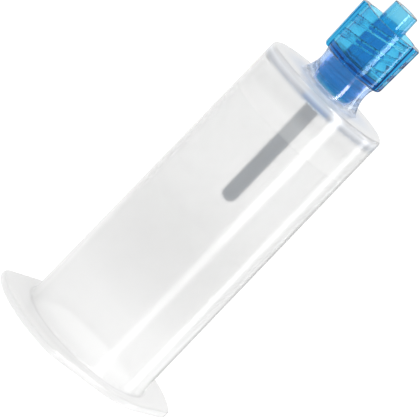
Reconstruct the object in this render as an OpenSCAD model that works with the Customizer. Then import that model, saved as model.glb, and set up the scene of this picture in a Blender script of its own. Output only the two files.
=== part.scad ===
// Single-use blood-collection tube holder with a pre-attached male luer-lock adapter.
// The origin is the centre of the open flange face. +Z runs along the axis to the luer tip.
// The two finger wings of the flange lie along X.

/* [Barrel] */
// Height from the open face to the outside of the front wall
barrel_h = 49.7; // [46:0.1:54]
// Outer radius at the open end
barrel_open_r = 10.4; // [10:0.05:11]
// Outer radius at the front shoulder
barrel_front_r = 10.0; // [9.8:0.05:10.3]
// Thickness of the barrel wall
barrel_wall = 1.0; // [0.8:0.05:1.2]
// Thickness of the front wall
front_wall = 1.7; // [1.5:0.1:2]
// Radius of the rounded front shoulder
shoulder_r = 0.4; // [0.2:0.1:0.8]

/* [Finger flange] */
// Thickness of the flange
flange_t = 1.1; // [1:0.1:1.8]
// Radius of the two wing ends
wing_r = 15.4; // [14.5:0.1:17]
// Radius of the two sides between the wings
side_r = 12.7; // [12.3:0.1:13.5]
// Half the angle that each wing end spans
wing_half_angle = 29.5; // [20:0.5:35]
// Radius of the rounded wing corners
wing_corner_r = 4.0; // [1:0.1:5]

/* [Neck] */
// Height of the neck above the front wall
neck_h = 4.45; // [4:0.05:5]
// Radius of the neck at its waist
neck_waist_r = 4.05; // [3.95:0.05:4.3]
// Radius of the concave sweep of the neck
neck_sweep_r = 4.5; // [4:0.1:6]
// Radius of the bore that holds the adapter's shank
socket_r = 3.35; // [3.3:0.05:3.4]

/* [Luer adapter] */
// Radius of the luer cone at its tip
luer_tip_r = 1.985; // [1.98:0.005:2.0]
// Radius gained by each millimetre of cone, half of the 6 percent taper
luer_slope = 0.03; // [0.03:0.001:0.03]
// Length that the cone stands out of the locking collar
luer_proud = 2.9; // [2.1:0.1:3.5]
// Radius of the fluid passage
lumen_r = 1.05; // [0.9:0.05:1.2]

/* [Locking collar] */
// Height of the collar
collar_h = 7.95; // [7:0.05:9]
// Thickness of the solid collar floor
collar_floor = 1.15; // [0.9:0.05:1.5]
// Outer radius of the collar over its ribs, at the open end
rib_r = 5.2; // [5.1:0.05:5.4]
// Outer radius of the thin wall between the ribs
panel_r = 4.6; // [4.5:0.05:4.7]
// Width of each grip rib
rib_w = 3.45; // [2.5:0.05:4]
// Direction of the first rib from the wing axis
rib_turn = 39.6; // [0:0.1:89]
// Root radius of the internal lock thread
lock_root_r = 4.0; // [4:0.05:4.1]
// Crest radius of the internal lock thread
lock_crest_r = 3.5; // [3.45:0.05:3.55]
// Pitch of the two-start lock thread
lock_pitch = 2.5; // [2.5:0.1:2.5]

/* [Shank] */
// Root radius of the threaded shank
shank_r = 2.95; // [2.8:0.05:3]
// Crest radius of the shank thread
shank_crest_r = 3.3; // [3.2:0.05:3.3]
// Pitch of the shank thread
shank_pitch = 1.4; // [1.2:0.1:1.6]
// Radius of the spigot that passes through the front wall
spigot_r = 2.3; // [2:0.05:2.6]
// Radius of the nipple that holds the sleeve
nipple_r = 0.75; // [0.7:0.05:0.8]
// Length of the nipple inside the barrel
nipple_l = 2.4; // [2:0.1:3]

/* [Rear needle] */
// Outer radius of the cannula
cannula_r = 0.41; // [0.35:0.01:0.45]
// Bore radius of the cannula
cannula_bore_r = 0.26; // [0.2:0.01:0.3]
// Distance from the front wall's inner face to the needle point
cannula_reach = 17.9; // [16:0.1:20]
// Angle between the needle bevel and its axis
bevel_angle = 22; // [15:1:30]

/* [Rubber sleeve] */
// Outer radius of the sleeve
sleeve_r = 1.14; // [1.1:0.01:1.3]
// Inner radius of the sleeve
sleeve_bore_r = 0.62; // [0.5:0.01:0.7]
// Rubber beyond the needle point
sleeve_cap = 1.1; // [0.8:0.1:1.5]
// Height of the sleeve's closed tip
sleeve_tip_h = 2.0; // [1.6:0.1:2.5]
// Radius of the pierced slit in the tip
slit_r = 0.46; // [0.45:0.01:0.5]
// Radius of the cuff where the sleeve meets the front wall
cuff_r = 1.3; // [1.2:0.05:1.4]

/* [Hidden] */
$fn = 96;
eps = 0.01;
// Clearance between mouldings that are bonded together
clear_gap = 0.1;
// Depth that an added shape sinks into the solid it joins
sunk = 0.3;
// Distance that a cut runs past the surface it opens
through = 1;

inner_top = barrel_h - front_wall;
neck_top = barrel_h + neck_h;
socket_sunk = 0.2;
socket_floor = barrel_h - socket_sunk;
mouth_chamfer = 0.35;
flange_edge = 0.25;
neck_root_r = 5.0;
neck_waist_h = 2.9;
neck_waist_z = barrel_h + neck_waist_h;

collar_top = neck_top + collar_h;
cavity_z = neck_top + collar_floor;
collar_chamfer = 0.35;
collar_foot_chamfer = 0.6;
collar_draft = 0.15;
luer_top = collar_top + luer_proud;
luer_edge = 0.15;
shank_bottom = socket_floor + clear_gap;
nipple_bottom = inner_top - nipple_l;
adhesive_seat = 1.1;
adhesive_bottom = barrel_h + adhesive_seat;
adhesive_h = 0.8;
cannula_tip_z = inner_top - cannula_reach;
cannula_seat = 1.4;
cannula_top = adhesive_bottom + cannula_seat;
bevel_l = 2 * cannula_r / tan(bevel_angle);

tip_z = cannula_tip_z - sleeve_cap;
wall_z = tip_z + sleeve_tip_h;
// Depth that the sleeve's bore reaches into its closed tip
tip_recess = 0.5;
cuff_z = nipple_bottom;
cuff_flare_h = 0.8;

// Threads: ridge widths, where each run starts and ends, and how the ends fade out
thread_steps = 36;
thread_fade_steps = 4;
thread_fade_low = 0.45;
lock_crest_w = 0.5;
lock_base_w = 1.3;
lock_turn = 20;
lock_from = cavity_z + 1.0;
lock_to = collar_top - 0.7;
grip_crest_w = 0.3;
grip_base_w = 1.0;
grip_from = shank_bottom + 0.5;
grip_to = neck_top - 0.6;

// Outline of the flange: wing ends and sides on two radii, joined by tangent lines.
corner_steps = 6;
end_steps = 16;
side_steps = 12;
// Angle left free where a large arc meets a corner
arc_trim = 3;
side_normal = wing_half_angle + acos((side_r - wing_corner_r) / (wing_r - wing_corner_r));

function on_circle(r, a) = [r * cos(a), r * sin(a)];

function arc(centre, r, from, to, steps) =
    [for (i = [0 : steps]) centre + on_circle(r, from + (to - from) * i / steps)];

function wing_corner(side) = on_circle(wing_r - wing_corner_r, side * wing_half_angle);

function half_outline(inset) = concat(
    arc(wing_corner(-1), wing_corner_r - inset, -side_normal, -wing_half_angle, corner_steps),
    arc([0, 0], wing_r - inset, arc_trim - wing_half_angle, wing_half_angle - arc_trim, end_steps),
    arc(wing_corner(1), wing_corner_r - inset, wing_half_angle, side_normal, corner_steps),
    arc([0, 0], side_r - inset, side_normal + arc_trim, 180 - side_normal - arc_trim, side_steps));

function flange_outline(inset) = concat(half_outline(inset), [for (p = half_outline(inset)) -p]);

// One start of a thread: a ridge that winds up the axis and fades out at both ends.
// base_r lies inside the solid that carries the ridge, and crest_r is its free edge.
module thread_ridge(base_r, crest_r, lead, z_from, z_to, start, crest_w, base_w) {
    turns = (z_to - z_from) / lead;
    count = ceil(turns * thread_steps);
    function level(i) = min(1, (i + 0.5) / thread_fade_steps, (count - i + 0.5) / thread_fade_steps);
    function ring(i) = let (
        a = start + 360 * turns * i / count,
        z = z_from + (z_to - z_from) * i / count,
        grow = thread_fade_low + (1 - thread_fade_low) * level(i),
        crest = base_r + (crest_r - base_r) * grow,
        half_crest = crest_w / 2,
        half_base = base_w / 2)
        [[base_r * cos(a), base_r * sin(a), z - half_base],
         [crest * cos(a), crest * sin(a), z - half_crest],
         [crest * cos(a), crest * sin(a), z + half_crest],
         [base_r * cos(a), base_r * sin(a), z + half_base]];
    points = [for (i = [0 : count]) each ring(i)];
    inward = crest_r < base_r;
    quads = [for (i = [0 : count - 1], k = [0 : 3])
        let (a = 4 * i + k, b = 4 * i + (k + 1) % 4) [a, b, b + 4, a + 4]];
    triangles = concat(
        [[0, 3, 2], [0, 2, 1]],
        [for (q = quads) each [[q[0], q[1], q[2]], [q[0], q[2], q[3]]]],
        [for (t = [[0, 1, 2], [0, 2, 3]]) [for (k = t) 4 * count + k]]);
    polyhedron(points, [for (t = triangles) inward ? [t[2], t[1], t[0]] : t], convexity = 6);
}

module flange() {
    translate([0, 0, flange_edge])
        linear_extrude(height = flange_t - 2 * flange_edge) polygon(flange_outline(0));
    linear_extrude(height = flange_t) polygon(flange_outline(flange_edge));
}

// Clear barrel, front wall, neck and finger flange: one moulding.
module tube_holder() {
    color([0.88, 0.90, 0.91, 0.45])
    difference() {
        union() {
            flange();
            cylinder(h = barrel_h - shoulder_r, r1 = barrel_open_r, r2 = barrel_front_r);
            translate([0, 0, barrel_h - shoulder_r - eps])
                cylinder(h = shoulder_r + eps, r1 = barrel_front_r, r2 = barrel_front_r - shoulder_r);
            translate([0, 0, barrel_h - eps])
                cylinder(h = neck_h + eps, r = neck_root_r);
        }
        translate([0, 0, neck_waist_z])
            rotate_extrude() translate([neck_waist_r + neck_sweep_r, 0]) neck_cutter();
        barrel_cavity();
        translate([0, 0, inner_top - eps])
            cylinder(h = front_wall, r = spigot_r + clear_gap);
        translate([0, 0, socket_floor])
            cylinder(h = neck_top - socket_floor + eps, r = socket_r);
    }
}

// Section of the ring that hollows the neck, cut off where it would reach the front wall.
module neck_cutter() {
    intersection() {
        circle(r = neck_sweep_r);
        translate([-2 * neck_sweep_r, barrel_h - neck_waist_z])
            square([3 * neck_sweep_r, neck_h + through]);
    }
}

module barrel_cavity() {
    open_r = barrel_open_r - barrel_wall;
    translate([0, 0, -eps])
        cylinder(h = inner_top + eps, r1 = open_r, r2 = barrel_front_r - barrel_wall);
    translate([0, 0, -eps])
        cylinder(h = mouth_chamfer, r1 = open_r + mouth_chamfer, r2 = open_r);
}

// Outside of the locking collar before the panels between its ribs are cut back.
module collar_envelope() {
    rotate_extrude() polygon([
        [0, neck_top],
        [rib_r - collar_draft - collar_foot_chamfer, neck_top],
        [rib_r - collar_draft, neck_top + collar_foot_chamfer],
        [rib_r, collar_top - collar_chamfer],
        [rib_r - collar_chamfer, collar_top],
        [0, collar_top]]);
}

module collar_body() {
    translate([0, 0, neck_top]) cylinder(h = collar_h, r = panel_r);
    intersection() {
        collar_envelope();
        for (turn = [0, 90])
            rotate([0, 0, rib_turn + turn])
                translate([-rib_w / 2, -2 * rib_r, neck_top - through])
                    cube([rib_w, 4 * rib_r, collar_h + 2 * through]);
    }
}

module luer_cone() {
    cone_z = cavity_z - sunk;
    cone_h = luer_top - luer_edge - cone_z;
    translate([0, 0, cone_z])
        cylinder(h = cone_h, r1 = luer_tip_r + luer_slope * cone_h, r2 = luer_tip_r);
    translate([0, 0, luer_top - luer_edge - eps])
        cylinder(h = luer_edge + eps, r1 = luer_tip_r, r2 = luer_tip_r - luer_edge);
}

module lock_thread() {
    for (start = [0, 180])
        thread_ridge(lock_root_r + sunk, lock_crest_r, 2 * lock_pitch,
            lock_from, lock_to, start + lock_turn, lock_crest_w, lock_base_w);
}

// Blue male luer, locking collar, threaded shank and sleeve nipple: one moulding.
module luer_adapter() {
    color([0.10, 0.45, 0.78, 0.8])
    difference() {
        union() {
            difference() {
                collar_body();
                translate([0, 0, cavity_z])
                    cylinder(h = collar_h, r = lock_root_r);
            }
            lock_thread();
            luer_cone();
            translate([0, 0, shank_bottom])
                cylinder(h = neck_top - shank_bottom + sunk, r = shank_r);
            thread_ridge(shank_r - sunk, shank_crest_r, shank_pitch,
                grip_from, grip_to, 0, grip_crest_w, grip_base_w);
            translate([0, 0, inner_top])
                cylinder(h = shank_bottom - inner_top + sunk, r = spigot_r);
            translate([0, 0, nipple_bottom])
                cylinder(h = nipple_l + sunk, r = nipple_r);
        }
        translate([0, 0, nipple_bottom - eps])
            cylinder(h = adhesive_bottom - nipple_bottom + 2 * eps, r = cannula_r);
        translate([0, 0, adhesive_bottom])
            cylinder(h = luer_top - adhesive_bottom + eps, r = lumen_r);
    }
}

// Stainless steel rear needle, bevelled at its point.
module rear_cannula() {
    color([0.75, 0.77, 0.79])
    difference() {
        translate([0, 0, cannula_tip_z])
            cylinder(h = cannula_top - cannula_tip_z, r = cannula_r);
        translate([0, 0, cannula_tip_z - through])
            cylinder(h = cannula_top - cannula_tip_z + 2 * through, r = cannula_bore_r);
        rotate([90, 0, 0])
            linear_extrude(height = 4 * cannula_r, center = true) polygon([
                [-cannula_r - eps, cannula_tip_z - through],
                [-cannula_r - eps, cannula_tip_z],
                [cannula_r + eps, cannula_tip_z + bevel_l],
                [cannula_r + eps, cannula_tip_z - through]]);
    }
}

// Bead that bonds the needle in the bottom of the fluid passage.
module cannula_adhesive() {
    color([0.85, 0.86, 0.80])
    difference() {
        translate([0, 0, adhesive_bottom])
            cylinder(h = adhesive_h, r = lumen_r);
        translate([0, 0, adhesive_bottom - through])
            cylinder(h = adhesive_h + 2 * through, r = cannula_r);
    }
}

// Closed tip of the sleeve, drawn with the slit that the needle pierces.
module sleeve_tip() {
    color([0.55, 0.59, 0.62])
    difference() {
        union() {
            translate([0, 0, tip_z + sleeve_r]) sphere(r = sleeve_r);
            translate([0, 0, tip_z + sleeve_r])
                cylinder(h = sleeve_tip_h - sleeve_r, r = sleeve_r);
        }
        translate([0, 0, tip_z - through])
            cylinder(h = sleeve_tip_h + 2 * through, r = slit_r);
        translate([0, 0, wall_z - tip_recess])
            cylinder(h = tip_recess + through, r = sleeve_bore_r);
        translate([0, 0, wall_z])
            cylinder(h = sleeve_r, r = sleeve_r + eps);
    }
}

// Length of the sleeve that folds up as a tube is pushed on.
module sleeve_wall() {
    color([0.52, 0.56, 0.60])
    difference() {
        translate([0, 0, wall_z]) cylinder(h = cuff_z - wall_z, r = sleeve_r);
        translate([0, 0, wall_z - through])
            cylinder(h = cuff_z - wall_z + 2 * through, r = sleeve_bore_r);
    }
}

// End of the sleeve that grips the nipple and flares against the front wall.
module sleeve_cuff() {
    color([0.62, 0.65, 0.67])
    difference() {
        union() {
            translate([0, 0, cuff_z]) cylinder(h = nipple_l, r = sleeve_r);
            translate([0, 0, inner_top - cuff_flare_h])
                cylinder(h = cuff_flare_h, r1 = sleeve_r, r2 = cuff_r);
        }
        translate([0, 0, cuff_z - through]) cylinder(h = nipple_l + 2 * through, r = nipple_r);
    }
}

tube_holder();
luer_adapter();
rear_cannula();
cannula_adhesive();
sleeve_tip();
sleeve_wall();
sleeve_cuff();
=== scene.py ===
# Looks for a single-use blood-collection tube holder: a frosted clear barrel, a transparent
# blue luer-lock adapter, and a rubber-sleeved steel needle inside. Lengths are in millimetres
# until mesh() turns them into metres.
import math

import bpy
import numpy as np
from mathutils import Matrix, Vector


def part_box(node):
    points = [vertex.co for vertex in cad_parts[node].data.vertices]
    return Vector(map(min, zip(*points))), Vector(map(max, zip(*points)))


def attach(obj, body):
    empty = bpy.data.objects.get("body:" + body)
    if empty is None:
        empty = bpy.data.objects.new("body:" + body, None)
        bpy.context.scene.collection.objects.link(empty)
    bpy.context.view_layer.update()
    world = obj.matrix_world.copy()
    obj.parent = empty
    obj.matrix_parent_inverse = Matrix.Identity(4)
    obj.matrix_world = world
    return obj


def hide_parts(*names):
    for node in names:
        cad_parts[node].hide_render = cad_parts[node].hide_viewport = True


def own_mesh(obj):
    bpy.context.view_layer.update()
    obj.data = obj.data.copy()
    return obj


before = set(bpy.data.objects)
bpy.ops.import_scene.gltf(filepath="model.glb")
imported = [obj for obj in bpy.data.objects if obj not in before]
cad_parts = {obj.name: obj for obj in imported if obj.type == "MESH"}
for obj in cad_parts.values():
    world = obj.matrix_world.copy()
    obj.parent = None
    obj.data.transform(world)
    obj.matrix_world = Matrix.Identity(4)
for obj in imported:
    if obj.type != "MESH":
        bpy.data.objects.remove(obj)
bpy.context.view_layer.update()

MM = 0.001
TURN = 2 * math.pi


def node_z(node):
    """Lowest and highest z of a CAD node, in millimetres."""
    lo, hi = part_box(node)
    return lo[2] / MM, hi[2] / MM


def node_half_width(node, axis=0):
    lo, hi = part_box(node)
    return (hi[axis] - lo[axis]) / 2 / MM


# Driving dimensions, in millimetres. Heights come from the frame.
HOLDER_Z, NECK_TOP = node_z("tube_holder")
NIPPLE_Z, LUER_TOP = node_z("luer_adapter")
NEEDLE_Z, NEEDLE_TOP = node_z("rear_cannula")
BEAD_Z, BEAD_TOP = node_z("cannula_adhesive")
TIP_Z, WALL_Z = node_z("sleeve_tip")
CUFF_Z, FRONT_INNER = node_z("sleeve_cuff")

BARREL_H = FRONT_INNER + 1.7
OPEN_R, FRONT_R, WALL = 10.4, 10.0, 1.0
FLANGE_T = 1.1
WING_R = node_half_width("tube_holder")
SIDE_R = node_half_width("tube_holder", 1)
WING_HALF_ANGLE = math.radians(29.5)
WING_CORNER_R = 4.0
NECK_WAIST_R, NECK_SWEEP_R = 4.05, 4.5
NECK_WAIST_Z = BARREL_H + 2.9
SOCKET_R = 3.35
SOCKET_FLOOR = BARREL_H - 0.2
SPIGOT_R = 2.3
SPIGOT_HOLE_R = SPIGOT_R + 0.1

COLLAR_TOP = LUER_TOP - 2.9
CAVITY_Z = NECK_TOP + 1.15
RIB_R, PANEL_R, RIB_HALF = 5.2, 4.6, 1.725
COLLAR_DRAFT = 0.15
RIB_TURN = math.radians(39.6)
LOCK_ROOT_R, LOCK_CREST_R, LOCK_PITCH = 4.0, 3.5, 2.5
LOCK_BASE, LOCK_CREST = 1.3, 0.35
LUER_TIP_R, LUER_SLOPE, LUMEN_R = 1.985, 0.03, 1.05
SHANK_R, SHANK_CREST_R, SHANK_PITCH = 2.95, 3.3, 1.4
SHANK_BASE, SHANK_CREST = 1.0, 0.3
SHANK_Z = SOCKET_FLOOR + 0.1
NIPPLE_R = 0.75
NEEDLE_R = node_half_width("rear_cannula")
NEEDLE_BORE_R = 0.26
BEVEL = math.radians(22)
SLEEVE_R, SLEEVE_BORE_R, CUFF_R = 1.14, 0.62, 1.3


# ---------------------------------------------------------------- mesh tools

def rounded(corners, steps=5):
    """A closed loop of points from corners (r, z, radius, *weights), each rounded to its radius."""
    loop = []
    count = len(corners)
    for i, corner in enumerate(corners):
        p = np.array(corner[:2], float)
        before = np.array(corners[i - 1][:2], float) - p
        after = np.array(corners[(i + 1) % count][:2], float) - p
        weights = list(corner[3:])
        radius = corner[2]
        if radius <= 0:
            loop.append([*p, *weights])
            continue
        u, v = before / np.linalg.norm(before), after / np.linalg.norm(after)
        half = math.acos(np.clip(u @ v, -1, 1)) / 2
        reach = radius / math.tan(half)
        start, end = p + u * reach, p + v * reach
        for k in range(steps + 1):
            t = k / steps
            # a quadratic through the corner is close to an arc at these small sizes
            q = (1 - t) ** 2 * start + 2 * t * (1 - t) * p + t ** 2 * end
            loop.append([*q, *weights])
    return loop


def refine(loop, longest, fine=None, fine_r=()):
    """Adds points so that no step is longer than longest, or fine on a wall at a radius in fine_r."""
    out = []
    for i, p in enumerate(loop):
        q = loop[(i + 1) % len(loop)]
        on_fine = any(max(abs(p[0] - r), abs(q[0] - r)) < 0.03 for r in fine_r)
        step = fine if on_fine else longest
        parts = max(1, math.ceil(math.dist(p[:2], q[:2]) / step))
        for k in range(parts):
            out.append([a + (b - a) * k / parts for a, b in zip(p, q)])
    return out


def mesh(name, radius, height, angles, sharp=32):
    """A closed ring-shaped mesh: radius and height are arrays of rings by angles."""
    rings, count = radius.shape
    xyz = np.stack([radius * np.cos(angles), radius * np.sin(angles), height], -1) * MM
    p, n = np.meshgrid(np.arange(rings), np.arange(count), indexing="ij")
    p2, n2 = (p + 1) % rings, (n + 1) % count
    faces = np.stack([p * count + n, p * count + n2, p2 * count + n2, p2 * count + n], -1)
    data = bpy.data.meshes.new(name)
    data.from_pydata(xyz.reshape(-1, 3).tolist(), [], faces.reshape(-1, 4).tolist())
    data.validate()
    data.update()
    data.shade_smooth()
    data.set_sharp_from_angle(angle=math.radians(sharp))
    obj = bpy.data.objects.new(name, data)
    bpy.context.scene.collection.objects.link(obj)
    return obj


def even_angles(count):
    return np.linspace(0, TURN, count, endpoint=False)


def lathe(name, loop, count=96, sharp=32):
    """A turned solid from a closed loop of (r, z), anticlockwise in the r-z plane."""
    angles = even_angles(count)
    points = np.array([p[:2] for p in loop], float)
    ones = np.ones_like(angles)
    return mesh(name, points[:, :1] * ones, points[:, 1:2] * ones, angles, sharp)


def smooth(t):
    t = np.clip(t, 0, 1)
    return t * t * (3 - 2 * t)


# ---------------------------------------------------------------- outlines

def wing_outline(angles, inset=0.0):
    """Radius of the flange outline at each angle: wing ends, sides and their tangents."""
    corner = WING_R - WING_CORNER_R
    normal = WING_HALF_ANGLE + math.acos((SIDE_R - WING_CORNER_R) / corner)
    a = np.abs((angles + math.pi / 2) % math.pi - math.pi / 2)
    turn = a - WING_HALF_ANGLE
    round_r = WING_CORNER_R - inset
    under = np.clip(round_r ** 2 - (corner * np.sin(turn)) ** 2, 0, None)
    on_corner = corner * np.cos(turn) + np.sqrt(under)
    on_line = (SIDE_R - inset) / np.cos(np.clip(normal - a, 0, 1.4))
    tangent = math.atan2(
        corner * math.sin(WING_HALF_ANGLE) + WING_CORNER_R * math.sin(normal),
        corner * math.cos(WING_HALF_ANGLE) + WING_CORNER_R * math.cos(normal))
    out = np.where(a < WING_HALF_ANGLE, WING_R - inset, on_corner)
    out = np.where(a > tangent, on_line, out)
    return np.where(a > normal, SIDE_R - inset, out)


def rib_outline(angles):
    """Radius of the collar between the panels and the four parallel-sided ribs."""
    a = np.abs((angles - RIB_TURN + math.pi / 4) % (math.pi / 2) - math.pi / 4)
    side = RIB_HALF / np.maximum(np.sin(a), 1e-3)
    rib = soft_min(side, RIB_R, 0.12)
    return soft_max(rib, PANEL_R, 0.12)


def soft_min(a, b, k):
    h = np.clip(0.5 + 0.5 * (b - a) / k, 0, 1)
    return b * (1 - h) + a * h - k * h * (1 - h) / 2


def soft_max(a, b, k):
    return -soft_min(-a, -b, k)


def ridge(angles, z, pitch, lead, base, crest, z_from, z_to):
    """Height from 0 to 1 of a right-hand helical ridge at each angle and z."""
    offset = (z - lead * angles / TURN + pitch / 2) % pitch - pitch / 2
    rise = np.clip((base / 2 - np.abs(offset)) / ((base - crest) / 2), 0, 1)
    ends = smooth((z - z_from) / 0.5) * smooth((z_to - z) / 0.5)
    return smooth(rise) * ends


# ---------------------------------------------------------------- pieces

def neck_points():
    """Concave sweep of the neck, from the front face up to the collar."""
    centre_r = NECK_WAIST_R + NECK_SWEEP_R
    points = []
    for z in np.linspace(BARREL_H + 0.25, NECK_TOP - 0.12, 22):
        dz = z - NECK_WAIST_Z
        points.append([centre_r - math.sqrt(NECK_SWEEP_R ** 2 - dz ** 2), z, 0, 0.0])
    return points


def make_holder():
    cavity_r = FRONT_R - WALL
    mouth_r = OPEN_R - WALL
    neck = neck_points()
    # weight: share of the flange outline
    corners = [
        [mouth_r + 0.3, HOLDER_Z, 0.12, 0.0],
        [SIDE_R, HOLDER_Z, 0.35, 1.0],
        [SIDE_R, FLANGE_T, 0.35, 1.0],
        [OPEN_R, FLANGE_T, 0.5, 0.0],
        [FRONT_R, BARREL_H, 0.75, 0.0],
        [neck[0][0] + 0.22, BARREL_H, 0.2, 0.0],
        *neck,
        [neck[-1][0] + 0.02, NECK_TOP, 0, 0.0],
        [SOCKET_R, NECK_TOP, 0.1, 0.0],
        [SOCKET_R, SOCKET_FLOOR, 0.1, 0.0],
        [SPIGOT_HOLE_R, SOCKET_FLOOR, 0.05, 0.0],
        [SPIGOT_HOLE_R, FRONT_INNER, 0.1, 0.0],
        [cavity_r, FRONT_INNER, 0.6, 0.0],
        [mouth_r, HOLDER_Z + 0.5, 0.25, 0.0],
    ]
    loop = np.array(refine(rounded(corners), 1.2))
    angles = even_angles(360)
    flare = wing_outline(angles)[None, :] - SIDE_R
    radius = loop[:, :1] + loop[:, 2:3] * flare
    height = loop[:, 1:2] * np.ones_like(radius)
    return mesh("holder_shell", radius, height, angles)


def adapter_angles():
    """Even angles, with more of them across each rib's side walls."""
    ribs = 4
    edge = math.asin(RIB_HALF / (0.5 * (RIB_R + PANEL_R)))
    spread = math.radians(3.2)
    extra = [RIB_TURN + k * TURN / ribs + side * edge + t
             for k in range(ribs) for side in (-1, 1)
             for t in np.linspace(-spread, spread, 13)]
    both = np.concatenate([even_angles(240), np.array(extra) % TURN])
    return np.unique(np.round(both, 5))


def adapter_loop():
    """The adapter's section. Weights: share of the rib outline, and draft taken off the ribs."""
    cone_foot = LUER_TIP_R + LUER_SLOPE * (LUER_TOP - CAVITY_Z)
    drafted = -COLLAR_DRAFT
    corners = [
        [LUMEN_R, BEAD_Z, 0.05, 0, 0],
        [LUMEN_R, LUER_TOP, 0.12, 0, 0],
        [LUER_TIP_R, LUER_TOP, 0.18, 0, 0],
        [cone_foot, CAVITY_Z, 0.3, 0, 0],
        [LOCK_ROOT_R, CAVITY_Z, 0.25, 0, 0],
        [LOCK_ROOT_R, COLLAR_TOP, 0.2, 0, 0],
        [PANEL_R, COLLAR_TOP, 0.3, 1, 0],
        [PANEL_R, NECK_TOP, 0.6, 1, drafted],
        [SHANK_R, NECK_TOP, 0.1, 0, 0],
        [SHANK_R, SHANK_Z, 0.15, 0, 0],
        [SPIGOT_R, SHANK_Z, 0.1, 0, 0],
        [SPIGOT_R, FRONT_INNER, 0.1, 0, 0],
        [NIPPLE_R, FRONT_INNER, 0.05, 0, 0],
        [NIPPLE_R, NIPPLE_Z, 0.15, 0, 0],
        [NEEDLE_R, NIPPLE_Z, 0.03, 0, 0],
        [NEEDLE_R, BEAD_Z, 0.03, 0, 0],
    ]
    corners.reverse()
    return np.array(refine(rounded(corners), 0.5, 0.10, (LOCK_ROOT_R, SHANK_R)))


def make_adapter():
    loop = adapter_loop()
    angles = adapter_angles()
    r = loop[:, :1]
    z = loop[:, 1:2] * np.ones((1, len(angles)))
    share, draft = loop[:, 2:3], loop[:, 3:4]
    ribs = rib_outline(angles)[None, :] - PANEL_R
    on_rib = np.clip(ribs / (RIB_R - PANEL_R), 0, 1)
    radius = r + share * (ribs + draft * on_rib)

    lock = ridge(angles[None, :], z, LOCK_PITCH, 2 * LOCK_PITCH, LOCK_BASE, LOCK_CREST,
                 CAVITY_Z + 0.8, COLLAR_TOP - 0.4)
    on_lock = (r > LOCK_ROOT_R - 0.1) & (r < LOCK_ROOT_R + 0.05) & (z > CAVITY_Z)
    radius = radius - np.where(on_lock, lock * (LOCK_ROOT_R - LOCK_CREST_R), 0)

    grip = ridge(angles[None, :], z, SHANK_PITCH, SHANK_PITCH, SHANK_BASE, SHANK_CREST,
                 SHANK_Z + 0.3, NECK_TOP - 0.4)
    on_shank = (np.abs(r - SHANK_R) < 0.03) & (z < NECK_TOP)
    radius = radius + np.where(on_shank, grip * (SHANK_CREST_R - SHANK_R), 0)
    return mesh("adapter_moulding", radius, z, angles)


def make_needle():
    angles = even_angles(48)
    loop = np.array(refine(rounded([
        [NEEDLE_R, NEEDLE_Z, 0.01], [NEEDLE_R, NEEDLE_TOP, 0.02],
        [NEEDLE_BORE_R, NEEDLE_TOP, 0.02], [NEEDLE_BORE_R, NEEDLE_Z, 0.01]], 3), 1.0))
    radius = loop[:, :1] * np.ones((1, len(angles)))
    height = loop[:, 1:2] * np.ones((1, len(angles)))
    # the bevel lifts each point at the open end in line with the cutting plane
    reach = NEEDLE_R + radius * np.cos(angles)
    lifted = NEEDLE_Z + reach / math.tan(BEVEL)
    height = np.maximum(height, lifted)
    return mesh("needle_tube", radius, height, angles, sharp=25)


def make_bead():
    sag = 0.25
    loop = rounded([
        [NEEDLE_R, BEAD_Z, 0], [LUMEN_R, BEAD_Z, 0.04], [LUMEN_R, BEAD_TOP, 0],
        [0.5 * (LUMEN_R + NEEDLE_R), BEAD_TOP - sag, 0.2], [NEEDLE_R, BEAD_TOP - 0.05, 0]])
    return lathe("adhesive_bead", refine(loop, 0.12), 64)


def make_sleeve_tip():
    """A closed dome, with a pinhole too small to see where a lathed loop can't reach the axis."""
    closed_r = 0.02
    pinhole = 0.04
    dome = [[SLEEVE_R * math.sin(t), TIP_Z + SLEEVE_R * (1 - math.cos(t))]
            for t in np.linspace(pinhole, math.pi / 2, 16)]
    inner = [[SLEEVE_BORE_R, WALL_Z], [SLEEVE_BORE_R, NEEDLE_Z - 0.1],
             [0.5 * SLEEVE_BORE_R, NEEDLE_Z - 0.3], [closed_r, NEEDLE_Z - 0.36]]
    loop = dome + [[SLEEVE_R, WALL_Z]] + inner
    return lathe("sleeve_end", refine(loop, 0.25), 64)


def make_sleeve_wall():
    """Faint rings along the wall are where the rubber folds as a tube is pushed on."""
    rings, steps, depth = 30, 8, 0.012
    points = rings * steps
    outer = []
    for k in range(points + 1):
        z = WALL_Z + (CUFF_Z - WALL_Z) * k / points
        dip = depth * (1 - math.cos(TURN * k / steps)) / 2
        outer.append([SLEEVE_R - dip, z])
    loop = outer + [[SLEEVE_BORE_R, CUFF_Z], [SLEEVE_BORE_R, WALL_Z]]
    return lathe("sleeve_folds", loop, 64)


def make_sleeve_cuff():
    loop = rounded([
        [SLEEVE_R, CUFF_Z, 0], [SLEEVE_R, FRONT_INNER - 0.85, 0.5],
        [CUFF_R, FRONT_INNER - 0.15, 0.1], [CUFF_R, FRONT_INNER, 0.06],
        [NIPPLE_R, FRONT_INNER, 0], [NIPPLE_R, CUFF_Z, 0]])
    return lathe("sleeve_cuff_grip", refine(loop, 0.3), 64)


# ---------------------------------------------------------------- materials

def new_material(name):
    material = bpy.data.materials.new(name)
    material.use_nodes = True
    tree = material.node_tree
    shader = tree.nodes["Principled BSDF"]
    return material, tree, shader


def node(tree, kind, **values):
    made = tree.nodes.new(kind)
    for key, value in values.items():
        if hasattr(made, key):
            setattr(made, key, value)
        else:
            made.inputs[key].default_value = value
    return made


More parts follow.
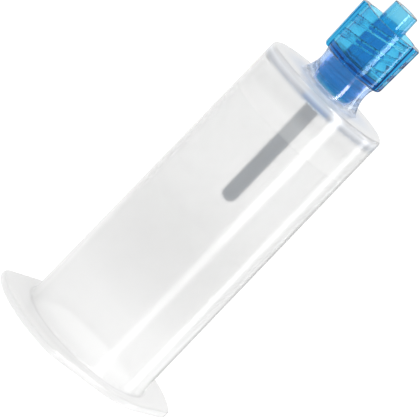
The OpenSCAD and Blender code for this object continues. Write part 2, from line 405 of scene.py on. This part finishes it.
def noise(tree, scale, detail=3.0, rough=0.5, stretch=(1, 1, 1)):
    """Noise in the object's own space; scale is in cells per metre."""
    place = node(tree, "ShaderNodeTexCoord")
    mapping = node(tree, "ShaderNodeMapping")
    mapping.inputs["Scale"].default_value = stretch
    texture = node(tree, "ShaderNodeTexNoise")
    texture.inputs["Scale"].default_value = scale
    texture.inputs["Detail"].default_value = detail
    texture.inputs["Roughness"].default_value = rough
    tree.links.new(place.outputs["Object"], mapping.inputs["Vector"])
    tree.links.new(mapping.outputs["Vector"], texture.inputs["Vector"])
    return texture


def map_range(tree, source, low, high, to_low, to_high, smooth_step=False):
    ranged = node(tree, "ShaderNodeMapRange")
    if smooth_step:
        ranged.interpolation_type = "SMOOTHSTEP"
    for key, value in (("From Min", low), ("From Max", high), ("To Min", to_low), ("To Max", to_high)):
        ranged.inputs[key].default_value = value
    tree.links.new(source, ranged.inputs["Value"])
    return ranged.outputs["Result"]


def band(tree, length, low, high, to_low=0, to_high=1, smooth_step=True):
    """Goes from to_low to to_high as a length, in metres, goes from low to high, in millimetres."""
    return map_range(tree, length, low * MM, high * MM, to_low, to_high, smooth_step)


def math_node(tree, operation, a, b):
    made = node(tree, "ShaderNodeMath", operation=operation)
    for socket, value in zip(made.inputs, (a, b)):
        if isinstance(value, (int, float)):
            socket.default_value = value
        else:
            tree.links.new(value, socket)
    return made.outputs[0]


def bump(tree, shader, height, strength, distance):
    made = node(tree, "ShaderNodeBump")
    made.inputs["Strength"].default_value = strength
    made.inputs["Distance"].default_value = distance
    tree.links.new(height, made.inputs["Height"])
    tree.links.new(made.outputs["Normal"], shader.inputs["Normal"])


def ramp(tree, source, stops):
    """Value of a line through (height in mm, value) stops, read at a height in metres."""
    top = stops[-1][0]
    share = map_range(tree, source, 0, top * MM, 0, 1)
    made = node(tree, "ShaderNodeValToRGB")
    marks = made.color_ramp.elements
    while len(marks) < len(stops):
        marks.new(0.5)
    for mark, (height, value) in zip(marks, stops):
        mark.position = height / top
        mark.color = (value, value, value, 1)
    tree.links.new(share, made.inputs["Fac"])
    return made.outputs["Color"]


def height_of(tree):
    place = node(tree, "ShaderNodeTexCoord")
    split = node(tree, "ShaderNodeSeparateXYZ")
    tree.links.new(place.outputs["Object"], split.inputs[0])
    return split.outputs["Z"]


def length_across(tree):
    """Distance from the barrel's axis."""
    place = node(tree, "ShaderNodeTexCoord")
    flat = node(tree, "ShaderNodeVectorMath", operation="MULTIPLY")
    flat.inputs[1].default_value = (1, 1, 0)
    tree.links.new(place.outputs["Object"], flat.inputs[0])
    size = node(tree, "ShaderNodeVectorMath", operation="LENGTH")
    tree.links.new(flat.outputs[0], size.inputs[0])
    return size.outputs["Value"]


def blend(tree, factor, first, second):
    """Mix of two colours; each is a tuple or a socket."""
    made = node(tree, "ShaderNodeMix", data_type="RGBA")
    tree.links.new(factor, made.inputs["Factor"])
    for socket, colour in zip(made.inputs[6:8], (first, second)):
        if isinstance(colour, tuple):
            socket.default_value = (*colour, 1)
        else:
            tree.links.new(colour, socket)
    return made.outputs[2]


def shades(tree, source, dark, light):
    """A colour that goes from dark to light with the source."""
    made = node(tree, "ShaderNodeValToRGB")
    made.color_ramp.elements[0].color = (*dark, 1)
    made.color_ramp.elements[1].color = (*light, 1)
    tree.links.new(source, made.inputs["Fac"])
    return made.outputs["Color"]


# how clear the outer surface is at each height: hazy flange, barrel, satin band, neck
CLEARNESS = [(0, 0.18), (1.3, 0.18), (3.0, 0.14), (10, 0.20), (26, 0.64), (30, 0.69), (42.2, 0.69),
             (42.5, 0.59), (44.5, 0.58), (46.5, 0.69), (48.4, 0.68), (49.0, 0.36),
             (49.8, 0.50), (50.6, 0.97), (60, 0.97)]
HAZE_ROUGHNESS = [(0, 0.26), (1.3, 0.26), (3.0, 0.16), (42.2, 0.16), (49.8, 0.16),
                  (51.0, 0.08), (60, 0.08)]
INNER_CLEARNESS = 0.97
PLASTIC_IOR = 1.49


def painted_joint_shade(tree, colour, z, out):
    """Painted shade: a thin grey line mixed into the colour where the barrel meets the flange,
    standing in for the shade in the fillet.
    """
    low = band(tree, z, FLANGE_T - 0.2, FLANGE_T)
    high = band(tree, z, FLANGE_T, FLANGE_T + 0.3, 1, 0)
    inner = band(tree, out, OPEN_R + 0.3, OPEN_R + 0.6, 1, 0)
    ring = math_node(tree, "MULTIPLY", math_node(tree, "MULTIPLY", low, high), inner)
    # painted shade: the colour turns grey in this thin ring at the barrel's foot
    return blend(tree, ring, colour, (0.90, 0.90, 0.90))


def painted_blue_light_share(tree, z, out):
    """How far painted blue light, standing in for the adapter's blue seen through the clear plastic,
    reaches into the front wall, its rim and the neck.
    """
    in_wall = band(tree, z, FRONT_INNER - 0.2, FRONT_INNER + 0.2)
    past_face = band(tree, z, BARREL_H - 1.2, BARREL_H, 1, 0.4, smooth_step=False)
    in_neck = band(tree, z, BARREL_H + 0.3, BARREL_H + 0.9, 0, 0.75)
    in_front = math_node(tree, "MAXIMUM", math_node(tree, "MULTIPLY", in_wall, past_face), in_neck)
    near_axis = band(tree, out, 8.5, 2.5)
    rim = band(tree, z, BARREL_H - 0.7, BARREL_H - 0.1, 0.10, 0)
    return math_node(tree, "MAXIMUM",
                     math_node(tree, "MULTIPLY", in_front, near_axis),
                     math_node(tree, "MULTIPLY", in_front, rim))


def outer_share(tree, z, out):
    """1 on the outer surfaces, which carry the haze, and 0 on the bore and in the socket."""
    on_barrel = band(tree, out, FRONT_R - 0.4, FRONT_R - 0.2)
    past_wall = band(tree, z, BARREL_H - 0.9, BARREL_H - 0.8, smooth_step=False)
    past_socket = band(tree, out, SOCKET_R + 0.15, SOCKET_R + 0.25, smooth_step=False)
    on_front = math_node(tree, "MULTIPLY", past_wall, past_socket)
    return math_node(tree, "MAXIMUM", on_barrel, on_front)


def hazy_clearness(tree, z, outside, patchy):
    """Share of light let straight through, at its least where the wall is seen edge on."""
    clearness = math_node(tree, "ADD", ramp(tree, z, CLEARNESS), patchy)
    edge = node(tree, "ShaderNodeLayerWeight")
    edge.inputs["Blend"].default_value = 0.5
    edge_haze = map_range(tree, edge.outputs["Facing"], 0.55, 0.95, 0, 0.5, True)
    clearness = math_node(tree, "SUBTRACT", clearness, edge_haze)
    clearness = math_node(tree, "MAXIMUM", clearness, 0.1)
    lost = math_node(tree, "SUBTRACT", INNER_CLEARNESS, clearness)
    return math_node(tree, "SUBTRACT", INNER_CLEARNESS, math_node(tree, "MULTIPLY", outside, lost))


def frosted_clear():
    """Clear moulded plastic: a fine haze outside, a satin band near the front, painted blue light
    from the adapter in the front wall and neck, and painted shade where the barrel meets the flange."""
    material, tree, shader = new_material("frosted_clear")
    shader.inputs["IOR"].default_value = PLASTIC_IOR
    z = height_of(tree)
    out = length_across(tree)
    # painted blue light: near the axis the front wall and neck take the adapter's blue as their colour
    colour = blend(tree, painted_blue_light_share(tree, z, out), (0.985, 0.985, 0.982), (0.06, 0.38, 0.95))
    tree.links.new(painted_joint_shade(tree, colour, z, out), shader.inputs["Base Color"])

    outside = outer_share(tree, z, out)
    cloud = noise(tree, 320, 4).outputs["Fac"]
    patchy = map_range(tree, cloud, 0.3, 0.7, -0.006, 0.006)
    clearness = hazy_clearness(tree, z, outside, patchy)
    tree.links.new(clearness, shader.inputs["Transmission Weight"])

    roughness = math_node(tree, "ADD", ramp(tree, z, HAZE_ROUGHNESS), patchy)
    inner_share = map_range(tree, outside, 0, 1, 0.5, 1)
    roughness = math_node(tree, "MULTIPLY", roughness, inner_share)
    tree.links.new(roughness, shader.inputs["Roughness"])
    grain = noise(tree, 5000, 2).outputs["Fac"]
    bump(tree, shader, grain, 0.10, 0.00001)
    return material


def clear_blue():
    """Transparent blue plastic, darker where it is thick. The shank is solid in colour."""
    material, tree, shader = new_material("clear_blue")
    shader.inputs["IOR"].default_value = PLASTIC_IOR
    shader.inputs["Specular Tint"].default_value = (0.45, 0.75, 1.0, 1)
    z = height_of(tree)
    in_collar = band(tree, z, NECK_TOP - 0.25, NECK_TOP + 0.15)
    in_tip = band(tree, z, COLLAR_TOP - 0.3, COLLAR_TOP + 1.5)
    colour = blend(tree, in_collar, (0.0, 0.90, 1.0), (0.40, 0.82, 0.96))
    colour = blend(tree, in_tip, colour, (0.80, 0.94, 0.985))
    tree.links.new(colour, shader.inputs["Base Color"])
    clearness = map_range(tree, in_collar, 0, 1, 0.0, 0.97)
    tree.links.new(clearness, shader.inputs["Transmission Weight"])
    flow = noise(tree, 700, 4, 0.55, (1, 1, 0.4)).outputs["Fac"]
    tree.links.new(map_range(tree, flow, 0.3, 0.7, 0.05, 0.11), shader.inputs["Roughness"])
    bump(tree, shader, flow, 0.15, 0.00001)
    absorb = node(tree, "ShaderNodeVolumeAbsorption")
    absorb.inputs["Color"].default_value = (0.0, 0.71, 0.88, 1)
    absorb.inputs["Density"].default_value = 760
    tree.links.new(absorb.outputs[0], tree.nodes["Material Output"].inputs["Volume"])
    return material


def drawn_steel():
    material, tree, shader = new_material("drawn_steel")
    shader.inputs["Metallic"].default_value = 1.0
    lines = noise(tree, 2500, 3, 0.6, (1, 1, 0.03)).outputs["Fac"]
    colour = shades(tree, lines, (0.55, 0.57, 0.59), (0.74, 0.75, 0.77))
    tree.links.new(colour, shader.inputs["Base Color"])
    tree.links.new(map_range(tree, lines, 0.3, 0.7, 0.2, 0.34), shader.inputs["Roughness"])
    bump(tree, shader, lines, 0.2, 0.00001)
    return material


def grey_rubber():
    material, tree, shader = new_material("grey_rubber")
    shader.inputs["Specular IOR Level"].default_value = 0.2
    mottle = noise(tree, 1500, 5, 0.6).outputs["Fac"]
    colour = shades(tree, mottle, (0.0, 0.045, 0.095), (0.002, 0.065, 0.130))
    tree.links.new(colour, shader.inputs["Base Color"])
    tree.links.new(map_range(tree, mottle, 0.3, 0.7, 0.5, 0.68), shader.inputs["Roughness"])
    bump(tree, shader, noise(tree, 6000, 3).outputs["Fac"], 0.25, 0.00002)
    return material


def cured_adhesive():
    material, tree, shader = new_material("cured_adhesive")
    shader.inputs["Base Color"].default_value = (0.86, 0.87, 0.78, 1)
    shader.inputs["Transmission Weight"].default_value = 0.5
    shader.inputs["IOR"].default_value = 1.5
    haze = noise(tree, 2200, 3).outputs["Fac"]
    tree.links.new(map_range(tree, haze, 0.3, 0.7, 0.12, 0.3), shader.inputs["Roughness"])
    bump(tree, shader, haze, 0.2, 0.00002)
    return material


def floor_material():
    """A bright, even white."""
    material, tree, shader = new_material("pale_floor")
    shader.inputs["Base Color"].default_value = (0.10, 0.10, 0.10, 1)
    shader.inputs["Roughness"].default_value = 0.9
    shader.inputs["Specular IOR Level"].default_value = 0.0
    shader.inputs["Emission Color"].default_value = (1, 1, 1, 1)
    shader.inputs["Emission Strength"].default_value = 1.02
    return material


# ---------------------------------------------------------------- studio

VIEW_AZIMUTH = math.radians(-44.4)
VIEW_ELEVATION = math.radians(11.14)
VIEW_ROLL = math.radians(-43.92)
VIEW_DISTANCE = 390.2
VIEW_LENS = 243.8
AIM_Z = 26.5
AIM_SIDE = -0.44


def around(azimuth, elevation=0.0):
    """Unit vector from the axis; azimuth 0 is -Y, where a camera looks along +Y."""
    flat = math.cos(elevation)
    return Vector((math.sin(azimuth) * flat, -math.cos(azimuth) * flat, math.sin(elevation)))


def make_camera():
    camera = bpy.data.objects.new("camera", bpy.data.cameras.new("camera"))
    bpy.context.scene.collection.objects.link(camera)
    back = around(VIEW_AZIMUTH, VIEW_ELEVATION)
    side = Vector((math.cos(VIEW_AZIMUTH), math.sin(VIEW_AZIMUTH), 0))
    aim = side * AIM_SIDE + Vector((0, 0, AIM_Z))
    camera.location = (aim + back * VIEW_DISTANCE) * MM
    camera.rotation_mode = "QUATERNION"
    level = (-back).to_track_quat("-Z", "Y")
    roll = Matrix.Rotation(VIEW_ROLL, 3, "Z").to_quaternion()
    camera.rotation_quaternion = level @ roll.inverted()
    camera.data.lens = VIEW_LENS
    camera.data.sensor_width = 36
    camera.data.clip_start = 0.01
    camera.data.clip_end = 50
    bpy.context.scene.camera = camera


def make_floor():
    half = 4.0
    data = bpy.data.meshes.new("floor")
    z = HOLDER_Z * MM - 0.0002
    data.from_pydata([(-half, -half, z), (half, -half, z), (half, half, z), (-half, half, z)],
                     [], [(0, 1, 2, 3)])
    floor = bpy.data.objects.new("floor", data)
    bpy.context.scene.collection.objects.link(floor)
    data.materials.append(floor_material())
    floor.visible_glossy = False


def make_world():
    """Pale surroundings. Reflections see soft upright strips of light as well, glass sees
    a plain pale backdrop, and matt surfaces see an even, slightly sided light."""
    world = bpy.data.worlds.new("studio")
    bpy.context.scene.world = world
    world.use_nodes = True
    tree = world.node_tree
    tree.nodes.clear()
    place = node(tree, "ShaderNodeTexCoord")
    split = node(tree, "ShaderNodeSeparateXYZ")
    tree.links.new(place.outputs["Generated"], split.inputs[0])
    flat = node(tree, "ShaderNodeVectorMath", operation="MULTIPLY")
    flat.inputs[1].default_value = (1, 1, 0)
    tree.links.new(place.outputs["Generated"], flat.inputs[0])
    unit = node(tree, "ShaderNodeVectorMath", operation="NORMALIZE")
    tree.links.new(flat.outputs[0], unit.inputs[0])

    def facing(azimuth):
        dot = node(tree, "ShaderNodeVectorMath", operation="DOT_PRODUCT")
        dot.inputs[1].default_value = around(VIEW_AZIMUTH + math.radians(azimuth))
        tree.links.new(unit.outputs[0], dot.inputs[0])
        return dot.outputs["Value"]

    def strip(azimuth, half_width, soft, low_level, high_level, adapter_level):
        outer = math.cos(math.radians(half_width + soft))
        inner = math.cos(math.radians(max(half_width - soft, 0.1)))
        across = map_range(tree, facing(azimuth), outer, inner, 0, 1, True)
        along = map_range(tree, split.outputs["Z"], -0.26, -0.14, low_level, high_level)
        on_adapter = map_range(tree, split.outputs["Z"], -0.134, -0.122, 0, 1)
        return math_node(tree, "MULTIPLY", across, pick(on_adapter, along, adapter_level))

    def pick(factor, otherwise, value):
        mix = node(tree, "ShaderNodeMix")
        for key, source in (("Factor", factor), ("A", otherwise), ("B", value)):
            if isinstance(source, (int, float)):
                mix.inputs[key].default_value = source
            else:
                tree.links.new(source, mix.inputs[key])
        return mix.outputs["Result"]

    mirrored = map_range(tree, facing(180), -1, 1, *MIRROR_LEVELS)
    for values in STRIPS:
        mirrored = math_node(tree, "ADD", mirrored, strip(*values))
    mirrored = math_node(tree, "MAXIMUM", mirrored, 0.0)
    behind = map_range(tree, facing(180), -1, 1, *GLASS_LEVELS)
    matt = map_range(tree, facing(MATT_AZIMUTH), -1, 1, *MATT_LEVELS)
    path = node(tree, "ShaderNodeLightPath")
    level = pick(path.outputs["Is Glossy Ray"], matt, mirrored)
    level = pick(path.outputs["Is Transmission Ray"], level, behind)
    level = pick(path.outputs["Is Camera Ray"], level, 1.0)
    background = node(tree, "ShaderNodeBackground")
    tree.links.new(level, background.inputs["Color"])
    output = node(tree, "ShaderNodeOutputWorld")
    tree.links.new(background.outputs[0], output.inputs["Surface"])


# azimuth from the camera towards the photo's lower right, half width, softness, and the levels
# of light that the flange's end, the front's end and the adapter mirror
STRIPS = [
    (42, 6, 2.5, 2.0, 6.0, 17),
    (111, 5, 5, 4.5, 3, 4),
    (158, 7, 4, -1, -1, -1),
]
# level towards the camera's side, and behind the object
MIRROR_LEVELS = (0.30, 0.90)
GLASS_LEVELS = (1.03, 1.14)
MATT_AZIMUTH = 70
MATT_LEVELS = (0.85, 1.08)


# ---------------------------------------------------------------- assembly

def dress(piece, material, body, slot, *nodes):
    """Gives a piece its material, hides the CAD nodes it stands for and ties it to its body. The slot
    is not used.
    """
    piece.data.materials.append(material)
    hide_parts(*nodes)
    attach(piece, body)


make_camera()
make_world()
make_floor()
scene = bpy.context.scene
scene.view_settings.view_transform = "Standard"
scene.cycles.max_bounces = 32
scene.cycles.transmission_bounces = 24
scene.cycles.glossy_bounces = 8
scene.cycles.caustics_refractive = True

rubber = grey_rubber()
dress(make_holder(), frosted_clear(), "holder", "holder", "tube_holder")
dress(make_adapter(), clear_blue(), "holder", "adapter", "luer_adapter")
dress(make_needle(), drawn_steel(), "holder", "cannula", "rear_cannula")
dress(make_bead(), cured_adhesive(), "holder", "adhesive", "cannula_adhesive")
dress(make_sleeve_tip(), rubber, "sleeve_tip", "sleeve", "sleeve_tip")
dress(make_sleeve_cuff(), rubber, "holder", "sleeve", "sleeve_cuff")
folds = make_sleeve_wall()
dress(folds, rubber, "holder", "sleeve", "sleeve_wall")
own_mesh(folds)
